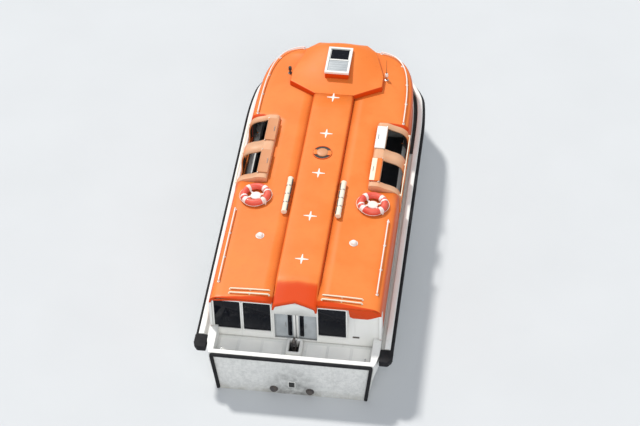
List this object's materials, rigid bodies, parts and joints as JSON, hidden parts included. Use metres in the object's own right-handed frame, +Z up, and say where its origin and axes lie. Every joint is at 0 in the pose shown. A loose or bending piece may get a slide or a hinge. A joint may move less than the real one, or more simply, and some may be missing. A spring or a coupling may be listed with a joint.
{
  "type": "ship's lifeboat and tender with a rigid canopy",
  "caption": "Ship's lifeboat with a white hull, an orange rigid canopy with side boarding places, twin screws and twin rudders.",
  "frame": {"origin": "on the waterline, amidships, on the centreline", "axes": "+X to port, +Y aft, +Z up; the bow points to -Y"},
  "size_m": [4.68, 11.37, 3.8202],
  "materials": {
    "orange_gelcoat": "weathered gloss gelcoat",
    "white_gelcoat": "weathered gloss gelcoat",
    "cream_gelcoat": "satin gelcoat",
    "grey_panel": "satin",
    "fender_rubber": "matt moulded rubber",
    "window_glass": "dark tinted glass",
    "steel": "satin stainless steel",
    "bronze": "cast and ground bronze",
    "buoy_skin": "satin moulded skin",
    "engine_paint": "satin paint"
  },
  "bodies": {
    "boat": {"hull": "white_gelcoat", "rubbing_strake_port": "white_gelcoat", "rubbing_strake_starboard": "white_gelcoat", "side_fender_port": "fender_rubber", "side_fender_starboard": "fender_rubber", "transom_fender": "fender_rubber", "canopy": "orange_gelcoat", "helm_dome": "orange_gelcoat", "side_housing_port": "orange_gelcoat", "side_housing_starboard": "orange_gelcoat", "aft_bulkhead": "white_gelcoat", "aft_window_port_outer": "window_glass", "aft_window_port_inner": "window_glass", "aft_window_starboard": "window_glass", "bow_window_port": "window_glass", "bow_window_starboard": "window_glass", "hatch_rim": "white_gelcoat", "hatch_pane": "window_glass", "lifebuoy_port": "buoy_skin", "lifebuoy_starboard": "buoy_skin", "stowage_tube_port": "white_gelcoat", "stowage_tube_starboard": "white_gelcoat", "roof_vent": "orange_gelcoat", "lamp_post_port": "steel", "lamp_post_starboard": "steel", "roof_rail_aft_port": "white_gelcoat", "roof_rail_aft_starboard": "white_gelcoat", "roof_rail_fore_port": "white_gelcoat", "roof_rail_fore_starboard": "white_gelcoat", "aft_hook_pedestal": "steel", "bow_hook_pedestal": "steel", "bench_port": "cream_gelcoat", "bench_starboard": "cream_gelcoat", "engine_port": "engine_paint", "engine_starboard": "engine_paint", "helm_station": "grey_panel"},
    "propeller_port": {"propeller_port": "bronze"},
    "propeller_starboard": {"propeller_starboard": "bronze"},
    "rudder_port": {"rudder_port": "steel"},
    "rudder_starboard": {"rudder_starboard": "steel"},
    "aft_door_port": {"aft_door_port": "grey_panel"},
    "aft_door_starboard": {"aft_door_starboard": "grey_panel"},
    "bow_door": {"bow_door": "orange_gelcoat"},
    "hatch_panel": {"hatch_panel": "grey_panel"},
    "roof_lid_port_aft": {"roof_lid_port_aft": "cream_gelcoat"},
    "roof_lid_port_fore": {"roof_lid_port_fore": "cream_gelcoat"},
    "roof_lid_starboard_aft": {"roof_lid_starboard_aft": "orange_gelcoat"},
    "roof_lid_starboard_fore": {"roof_lid_starboard_fore": "white_gelcoat"},
    "aft_hook": {"aft_hook": "steel"},
    "bow_hook": {"bow_hook": "steel"}
  },
  "joints": [
    {"name": "propeller_port_spin", "type": "hinge", "parent": "boat", "child": "propeller_port", "pos_m": [0.65, 4.6, -0.6], "axis": [0, 0.9945, -0.1045], "continuous": true},
    {"name": "propeller_starboard_spin", "type": "hinge", "parent": "boat", "child": "propeller_starboard", "pos_m": [-0.65, 4.6, -0.6], "axis": [0, 0.9945, -0.1045], "continuous": true},
    {"name": "rudder_port_turn", "type": "hinge", "parent": "boat", "child": "rudder_port", "pos_m": [0.65, 5.1, -0.6], "axis": [0, 0, 1], "range_deg": [-35, 35]},
    {"name": "rudder_starboard_turn", "type": "hinge", "parent": "boat", "child": "rudder_starboard", "pos_m": [-0.65, 5.1, -0.6], "axis": [0, 0, 1], "range_deg": [-35, 35]},
    {"name": "aft_door_port_swing", "type": "hinge", "parent": "boat", "child": "aft_door_port", "pos_m": [0.534, 4.565, 1.4], "axis": [0, 0, 1], "range_deg": [0, 100]},
    {"name": "aft_door_starboard_swing", "type": "hinge", "parent": "boat", "child": "aft_door_starboard", "pos_m": [-0.534, 4.565, 1.4], "axis": [0, 0, -1], "range_deg": [0, 100]},
    {"name": "bow_door_swing", "type": "hinge", "parent": "boat", "child": "bow_door", "pos_m": [0.322, -4.701, 1.8], "axis": [0, 0, 1], "range_deg": [0, 100]},
    {"name": "hatch_panel_slide", "type": "slide", "parent": "boat", "child": "hatch_panel", "axis": [0, -1, 0], "range_m": [0, 0.35]},
    {"name": "roof_lid_port_aft_turn", "type": "hinge", "parent": "boat", "child": "roof_lid_port_aft", "pos_m": [1.505, 0.13, 2.44], "axis": [0, 1, 0], "range_deg": [0, 180]},
    {"name": "roof_lid_port_fore_turn", "type": "hinge", "parent": "boat", "child": "roof_lid_port_fore", "pos_m": [1.505, -1.06, 2.44], "axis": [0, 1, 0], "range_deg": [0, 180]},
    {"name": "roof_lid_starboard_aft_turn", "type": "hinge", "parent": "boat", "child": "roof_lid_starboard_aft", "pos_m": [-1.505, 0.13, 2.44], "axis": [0, -1, 0], "range_deg": [0, 180]},
    {"name": "roof_lid_starboard_fore_turn", "type": "hinge", "parent": "boat", "child": "roof_lid_starboard_fore", "pos_m": [-1.505, -1.06, 2.44], "axis": [0, -1, 0], "range_deg": [0, 180]},
    {"name": "aft_hook_release", "type": "hinge", "parent": "boat", "child": "aft_hook", "pos_m": [0, 4.94, 1.1803], "axis": [-1, 0, 0], "range_deg": [0, 70]},
    {"name": "bow_hook_release", "type": "hinge", "parent": "boat", "child": "bow_hook", "pos_m": [0, -5.06, 1.4253], "axis": [1, 0, 0], "range_deg": [0, 70]}
  ],
  "couplings": [
    {"joint": "rudder_starboard_turn", "follows": "rudder_port_turn", "ratio": 1}
  ]
}
